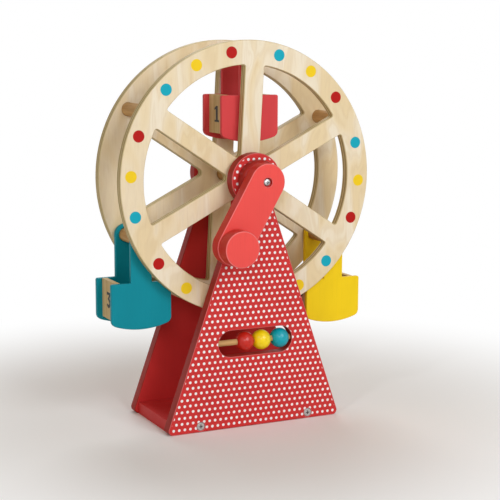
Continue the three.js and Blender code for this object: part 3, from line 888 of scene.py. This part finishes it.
arm_span, arm_middle = span("crank_arm"), middle("crank_arm")
arm_front = arm_middle.y - arm_span.y / 2
arm_outline = arc(0, 0, ARM_RADIUS, crank_angle + 90, crank_angle + 270, 48)
arm_outline += arc(*crank_offset, ARM_RADIUS, crank_angle - 90, crank_angle + 90, 48)
arm = board("crank_arm_board", arm_outline, [], arm_span.y, ARM_EASE, (axle_x, arm_front, axle_z))
carve(arm, recess_cutter((axle_x, arm_front, axle_z), -1))
dress(arm, crank_paint, "wheel", "crank_red", "crank_arm")

DISCS = (("crank_spacer", SPACER_ROUND, shaded_spacer_paint), ("rear_cap", DISC_EASE, crank_paint))
for node, ease, finish in DISCS:
    centre, sides = middle(node), span(node)
    start = (centre.x, centre.y - sides.y / 2, centre.z)
    profile = eased_rod(sides.x / 2, sides.y, ease, DISC_EASE, ROUND_STEPS)
    disc = turned(node + "_disc", profile, start, 96)
    if node == "rear_cap":
        carve(disc, recess_cutter((centre.x, centre.y + sides.y / 2, centre.z), 1))
    dress(disc, finish, "wheel", "crank_red", node)
print("crank angle:", round(crank_angle, 1), "degrees, reach", round(crank_offset.length, 1), "mm")

# %% [markdown]
# Knob. It turns on a screw from behind, so a dark seam shows between it and the arm. The seam comes
# from a 2 mm chamfer at the back edge, and the front edge is rounded where fingers hold it.

# %% Knob
KNOB_EASE = 1.6
KNOB_SEAM = 2.0

knob_span = span("crank_knob")
knob_radius = knob_span.x / 2
knob_front = [(knob_radius - KNOB_EASE + x, z) for x, z in arc(0, KNOB_EASE, KNOB_EASE, -90, 0, 8)]
knob_profile = [
    (0, 0),
    *knob_front,
    (knob_radius, knob_span.y - KNOB_SEAM),
    (knob_radius - KNOB_SEAM, knob_span.y),
    (0, knob_span.y),
]
knob_start = (knob_centre.x, knob_centre.y - knob_span.y / 2, knob_centre.z)
knob = turned("crank_knob_turning", knob_profile, knob_start, 96)
dress(knob, crank_paint, "knob", "crank_red", "crank_knob")
print("knob:", round(2 * knob_radius, 1), "mm across,", round(knob_span.y, 1), "mm long")

# %% [markdown]
# Screws. The two at the axle have a domed head and a cross recess, and the four in the foot are
# countersunk with flat heads. The head is turned, and a cross-shaped solid that narrows inward cuts
# the recess, like the punch that forms it in the factory.

# %% Cross-head screws
CROSS_WIDTH_SHARE = 0.20
CROSS_REACH_SHARE = 0.74
CROSS_DEPTH_SHARE = 0.65
CROSS_TAPER = 0.35
HEAD_STEPS = 48
DOME_SHARE = 0.75
DOME_STEPS = 6
FLAT_BEVEL = 0.2
POINT_START_SHARE = 0.8


def cross_cutter(head_radius, head_height):
    """A cross that narrows towards the screw's point, in one closed solid."""
    shape = bmesh.new()
    rings = []
    for share, side in ((1.0, -1), (CROSS_TAPER, 1)):
        near = head_radius * CROSS_WIDTH_SHARE * share
        far = head_radius * CROSS_REACH_SHARE * share
        quarter = [(near, near), (near, far), (-near, far)]
        corners = [point for _ in range(4) for point in quarter]
        depth = side * head_height * CROSS_DEPTH_SHARE
        ring = []
        for index, corner in enumerate(corners):
            turn = Matrix.Rotation(math.pi / 2 * (index // len(quarter)), 2)
            x, z = turn @ Vector(corner)
            ring.append(shape.verts.new((x * MM, depth * MM, z * MM)))
        rings.append(ring)
        shape.faces.new(ring)
    for index in range(len(ring)):
        shape.faces.new([rings[0][index - 1], rings[0][index], rings[1][index], rings[1][index - 1]])
    mesh = bpy.data.meshes.new("cross")
    shape.to_mesh(mesh)
    shape.free()
    return weld(mesh)


def dome(radius, height):
    """The profile of a domed top, from its middle to its rim."""
    angles = [math.pi / 2 * step / DOME_STEPS for step in range(DOME_STEPS + 1)]
    return [(radius * math.sin(angle), height * (1 - math.cos(angle))) for angle in angles]


def screw(node, body, head_height, shank_radius, domed):
    """A cross-head screw in a node's place, its head at the outer end."""
    sides, centre = span(node), middle(node)
    radius, length = sides.x / 2, sides.y
    if domed:
        head = [*dome(radius, head_height * DOME_SHARE), (radius, head_height)]
    else:
        head = [(0, 0), (radius - FLAT_BEVEL, 0), (radius, FLAT_BEVEL)]
    tail = [(shank_radius, head_height), (shank_radius, length * POINT_START_SHARE), (0, length)]
    mesh = turned_mesh(node, head + tail, HEAD_STEPS)
    outward = 1 if centre.y > 0 else -1
    piece = place_mesh(node + "_turning", mesh, (0, 0, 0))
    carve(piece, place_mesh("cross", cross_cutter(radius, head_height), (0, 0, 0)))
    if outward > 0:
        piece.data.transform(Matrix.Rotation(math.pi, 4, "Z"))
    piece.location = Vector((centre.x, centre.y + outward * length / 2, centre.z)) * MM
    return dress(piece, steel, body, "screw_steel", node)


AXLE_SCREW_HEAD = 2.5
AXLE_SCREW_SHANK = 1.75
BASE_SCREW_HEAD = 2.6
BASE_SCREW_SHANK = 1.8

for node in ("crank_screw", "rear_screw"):
    screw(node, "wheel", AXLE_SCREW_HEAD, AXLE_SCREW_SHANK, True)
for number in (1, 2, 3, 4):
    screw(f"base_screw_{number}", "stand", BASE_SCREW_HEAD, BASE_SCREW_SHANK, False)
print("screw heads:", round(span("crank_screw").x, 1), "and", round(span("base_screw_1").x, 1), "mm")

# %% [markdown]
# Cars. Each is two painted side boards that hang on a dowel, with bare end boards and a floor glued
# between them. The side is a round-topped hanger over a tub whose bottom is a shallow arc. It is
# drawn with its pivot at zero, so the same outline serves every car wherever its dowel is.

# %% Car boards
CAR_EASE = 0.9
BOARD_EASE = 0.4
SHOULDER_DROP = 42
HANGER_WIDTH = 22
SHOULDER_CORNER = 2
TUB_HEIGHT = 46.5
TUB_ARC_RADIUS = 84
TUB_CORNER_INSET = 5
TUB_CORNER_RISE = 5


def tub_corner(end_x, end_z, side_x, side_z, rise, steps):
    """A soft corner: a curve pulled towards the point where the arc's tangent meets the side."""
    points = []
    for step in range(steps + 1):
        t = step / steps
        x = (1 - t) ** 2 * end_x + (2 - 2 * t) * t * side_x + t ** 2 * side_x
        z = (1 - t) ** 2 * end_z + (2 - 2 * t) * t * side_z + t ** 2 * (side_z + rise)
        points.append((x, z))
    return points


def car_side_outline(width):
    """The side board seen from the front, its pivot at 0, 0."""
    half = width / 2
    bottom = -SHOULDER_DROP - TUB_HEIGHT
    centre = bottom + TUB_ARC_RADIUS
    arc_end = half - TUB_CORNER_INSET
    swing = math.asin(arc_end / TUB_ARC_RADIUS)
    end_z = centre - TUB_ARC_RADIUS * math.cos(swing)
    side_z = end_z + TUB_CORNER_INSET * math.tan(swing)
    degrees = math.degrees(swing)
    shoulder = half - SHOULDER_CORNER
    right = tub_corner(arc_end, end_z, half, side_z, TUB_CORNER_RISE, 8)
    right += arc(shoulder, -SHOULDER_DROP - SHOULDER_CORNER, SHOULDER_CORNER, 0, 90, 6)
    right += [(HANGER_WIDTH / 2, -SHOULDER_DROP)]
    left = [(-x, z) for x, z in reversed(right)]
    base_arc = arc(0, centre, TUB_ARC_RADIUS, -90 - degrees, -90 + degrees, 40)[1:-1]
    return base_arc + right + arc(0, 0, HANGER_WIDTH / 2, 0, 180, 40) + left


def box_board(node, ease):
    """A small rectangular board in a node's place, drawn in X and Z."""
    centre, sides = middle(node), span(node)
    half_x, half_z = sides.x / 2, sides.z / 2
    outline = [(-half_x, -half_z), (half_x, -half_z), (half_x, half_z), (-half_x, half_z)]
    place = (centre.x, centre.y - sides.y / 2, centre.z)
    return board(node + "_board", outline, [], sides.y, ease, place)


CAR_SLOTS = {1: "car_red", 2: "car_yellow", 3: "car_teal"}
BARE_BOARDS = {"left_end": car_board, "right_end": car_board, "floor": car_floor}

for number, paint in car_paints.items():
    car = f"car_{number}"
    pivot = middle(f"car_dowel_{number}")
    for side in ("front", "rear"):
        node = f"{car}_{side}_side"
        sides = span(node)
        outline = car_side_outline(sides.x)
        place = (pivot.x, middle(node).y - sides.y / 2, pivot.z)
        hole = circle(0, 0, DOWEL_HOLE_RADIUS, 48)
        piece = board(node + "_board", outline, [hole], sides.y, CAR_EASE, place)
        dress(piece, paint, car, CAR_SLOTS[number], node)
    for part, wood in BARE_BOARDS.items():
        node = f"{car}_{part}"
        dress(box_board(node, BOARD_EASE), wood, car, "car_board_wood", node)
    print(car, "hangs at", round(pivot.x, 1), round(pivot.z, 1), "mm")

# %% [markdown]
# Numbers. Each car's end boards carry its number, printed in black in a plain style. The 1 with its
# slabs is drawn as an outline, and the 2 and 3 as strokes of even width, all in shares of their
# height. Each becomes a film of ink 0.06 mm thick, so that it also stays crisp in a close view.

# %% Numbers on the cars
DIGIT_HEIGHT = 16
INK_FILM = 0.06
STROKE_SHARE = 0.2
MITRE_LIMIT = 1.6


def stroke(points):
    """The outline of a stroke of even width along a line of points."""
    line = [Vector(point) for point in points]
    runs = [(after - before).normalized() for before, after in zip(line, line[1:])]
    sides = ([], [])
    for point, before, after in zip(line, runs[:1] + runs, runs + runs[-1:]):
        along = (before + after).normalized()
        across = Vector((-along.y, along.x))
        reach = STROKE_SHARE / 2 * min(MITRE_LIMIT, 1 / across.dot(Vector((-before.y, before.x))))
        sides[0].append(point + across * reach)
        sides[1].append(point - across * reach)
    return sides[0] + sides[1][::-1]


DIGIT_SHARES = {
    1: [
        *((0.0, 0.0), (0.66, 0.0), (0.66, 0.12), (0.48, 0.12), (0.48, 1.0), (0.26, 1.0)),
        *((0.0, 0.86), (0.0, 0.73), (0.19, 0.80), (0.19, 0.12), (0.0, 0.12)),
    ],
    2: stroke([*arc(0.33, 0.675, 0.225, 170, -30, 20), (0.14, 0.10), (0.64, 0.10)]),
    3: stroke([(0.04, 0.90), (0.56, 0.90), (0.33, 0.575), *arc(0.31, 0.325, 0.225, 60, -155, 20)]),
}
DIGIT_WIDTH_SHARE = 0.66


def digit_mesh(number):
    """One digit as a thin film that faces -Y, centred on its board."""
    shares = DIGIT_SHARES[number]
    sized = [((x - DIGIT_WIDTH_SHARE / 2) * DIGIT_HEIGHT, (z - 0.5) * DIGIT_HEIGHT) for x, z in shares]
    return outline_mesh(f"digit_{number}", sized, [], INK_FILM, 0)


for number in car_paints:
    for part, outward in (("left_end", -1), ("right_end", 1)):
        node = f"car_{number}_{part}"
        centre, sides = middle(node), span(node)
        digit = place_mesh(f"car_{number}_{part}_number", digit_mesh(number), (0, 0, 0))
        digit.data.transform(Matrix.Translation((0, -(INK_FILM + sides.x / 2) * MM, 0)))
        digit.data.transform(Matrix.Rotation(outward * math.pi / 2, 4, "Z"))
        digit.location = centre * MM
        dress(digit, ink, f"car_{number}", "car_board_wood")
print("numbers:", DIGIT_HEIGHT, "mm high on", 2 * len(car_paints), "end boards")

# %% [markdown]
# Beads and their rod. A bead is a ball, a little flattened along its bore, with two small flats
# where the bore comes out. The profile runs along the bore, over the flat, round the ball and back,
# so the spun body is a closed ring.

# %% Beads and rod
BEAD_BORE = 3.3
BEAD_WIDTH_SHARE = 0.97
BEAD_STEPS = 48

for node, lacquer in bead_lacquers.items():
    centre, sides = middle(node), span(node)
    radius, half_length = sides.y / 2, sides.x / 2
    limit = math.degrees(math.asin(half_length / radius / BEAD_WIDTH_SHARE))
    ball = [(x, z * BEAD_WIDTH_SHARE) for x, z in arc(0, 0, radius, -limit, limit, BEAD_STEPS)]
    profile = [(BEAD_BORE, -half_length), *ball, (BEAD_BORE, half_length), (BEAD_BORE, -half_length)]
    mesh = turned_mesh(node, profile, 72)
    mesh.transform(Matrix.Rotation(-math.pi / 2, 4, "Z"))
    bead = soften(place_mesh(node + "_turning", mesh, centre))
    body = "bead_" + node.split("_")[0]
    dress(bead, lacquer, body, f"{body}_paint", node)

rod_span, rod_middle = span("bead_rod"), middle("bead_rod")
rod_mesh = turned_mesh("bead_rod", eased_rod(rod_span.y / 2, rod_span.x, ROD_EASE), 40)
rod_mesh.transform(Matrix.Translation((0, -rod_span.x / 2 * MM, 0)))
rod_mesh.transform(Matrix.Rotation(-math.pi / 2, 4, "Z"))
rod = soften(place_mesh("bead_rod_turning", rod_mesh, rod_middle))
dress(rod, beech_along_x, "stand", "dowel_wood", "bead_rod")
print("beads:", round(2 * radius, 1), "mm on a", round(rod_span.y, 1), "mm rod")

# %% [markdown]
# The washers on the axle and the knob's own screw are hardly seen, and their solids have the right
# shape already. They stay as they are and only get their finish.

# %% Nodes that keep their solid
for node, finish, slot in (
    ("front_washer", beech_along_y, "washer_wood"),
    ("rear_washer", beech_along_y, "washer_wood"),
    ("knob_screw", steel, "screw_steel"),
):
    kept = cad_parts[node]
    kept.data.materials.clear()
    kept.data.materials.append(finish)
print("kept solids: washers and knob screw")

# %% [markdown]
# The floor is a pale sweep that takes the toy's shadow. Far from the toy it fades to plain white for
# what the camera sees, and the world is white there too, so no line shows between them. Reflections
# see the same white, but it sheds no light. The world's own light on the toy is a weak, slightly
# warm fill, like the light that comes back from a wooden table.

# %% Floor and world
FLOOR_COLOUR = "#F3F2F0"
FLOOR_HALF = 6.0
FADE_START = 0.16
FADE_END = 0.55
AMBIENT = 0.21
FILL_COLOUR = "#FFE9CB"


def seen_directly(tree):
    """1 for rays from the eye and for reflected or refracted rays, 0 for light."""
    path = add(tree, "LightPath")
    camera_ray, glossy_ray = path.outputs["Is Camera Ray"], path.outputs["Is Glossy Ray"]
    first = add(tree, "Math", {0: camera_ray, 1: glossy_ray}, operation="MAXIMUM")
    return add(tree, "Math", {0: first, 1: path.outputs["Is Transmission Ray"]}, operation="MAXIMUM")


floor_material, tree = blank_material("pale_floor")
place = add(tree, "TexCoord").outputs["Object"]
distance = add(tree, "VectorMath", {0: place}, operation="LENGTH").outputs["Value"]
far = remap(tree, distance, FADE_START, FADE_END, 0.0, 1.0, smooth=True)
fade = add(tree, "Math", {0: far, 1: seen_directly(tree)}, operation="MULTIPLY")
matt = add(tree, "BsdfDiffuse", {"Color": linear(FLOOR_COLOUR)})
white = add(tree, "Emission", {"Strength": 1.0})
show(tree, add(tree, "MixShader", {0: fade, 1: matt, 2: white}))

shape = bmesh.new()
corners = [(x * FLOOR_HALF, y * FLOOR_HALF, 0) for x, y in ((-1, -1), (1, -1), (1, 1), (-1, 1))]
shape.faces.new([shape.verts.new(corner) for corner in corners])
floor_mesh = bpy.data.meshes.new("floor")
shape.to_mesh(floor_mesh)
shape.free()
floor_mesh.materials.append(floor_material)
floor = place_mesh("floor", floor_mesh, (0, 0, 0))

world = bpy.data.worlds.new("white_studio")
bpy.context.scene.world = world
world.use_nodes = True
world.node_tree.nodes.clear()
sky = world.node_tree
seen = seen_directly(sky)
strength = remap(sky, seen, 0.0, 1.0, AMBIENT, 1.0)
sky_colour = tint(sky, seen, linear(FILL_COLOUR), (1, 1, 1, 1))
background = add(sky, "Background", {"Color": sky_colour, "Strength": strength})
add(sky, "OutputWorld", {"Surface": background})
print("floor fades to white from", FADE_START, "to", FADE_END, "m")

# %% [markdown]
# Soft studio light, in a cool white. The large key lamp in front, to the right and above, gives the
# shapes their light. A smaller one close to the camera makes the beads' highlights, and a small one
# high on the left adds a faint light line on the eased edges, which the paint's painted highlight
# there makes much stronger. A large lamp above and behind lights the rims, the tops of the cars and
# the floor.

# %% Lamps
AIM = Vector((0.0, 0.0, 0.2))
LAMP_COLOUR = "#F9FBFF"
LAMPS = (
    ("key_softbox", (0.45, -1.8, 1.2), 1.1, 21.5),
    ("front_softbox", (-0.75, -1.5, 0.75), 0.4, 5.0),
    ("left_softbox", (-1.3, -0.85, 1.15), 0.16, 3.0),
    ("back_softbox", (0.5, 1.4, 1.6), 1.2, 17.0),
)
for name, place, size, power in LAMPS:
    light = bpy.data.lights.new(name, "AREA")
    light.color = linear(LAMP_COLOUR)[:3]
    light.shape = "DISK"
    light.size = size
    light.energy = power
    lamp = bpy.data.objects.new(name, light)
    bpy.context.scene.collection.objects.link(lamp)
    lamp.location = place
    lamp.rotation_mode = "QUATERNION"
    lamp.rotation_quaternion = (AIM - lamp.location).to_track_quat("-Z", "Y")
print("lamps:", [lamp[0] for lamp in LAMPS])

# %% [markdown]
# Camera. It stands to the left of the crank and looks slightly down, at the angle and distance that
# the photograph was taken from. Its lens is long, about 95 mm, which keeps the circles round.

# %% Camera
CAMERA_PLACE = (-0.5733, -1.2030, 0.3795)
HEADING = 26.19
TILT = 8.87
ROLL = 0.23
LENS = 94.89

camera_data = bpy.data.cameras.new("camera")
camera_data.lens = LENS
camera_data.sensor_width = 36
camera = bpy.data.objects.new("camera", camera_data)
bpy.context.scene.collection.objects.link(camera)
camera.location = CAMERA_PLACE
aim = Matrix.Rotation(math.radians(-HEADING), 4, "Z") @ Matrix.Rotation(math.radians(90 - TILT), 4, "X")
camera.rotation_euler = (aim @ Matrix.Rotation(math.radians(ROLL), 4, "Z")).to_euler()
bpy.context.scene.camera = camera
bpy.context.scene.view_settings.view_transform = "Standard"
print("camera at", CAMERA_PLACE, "m, heading", HEADING, "degrees")
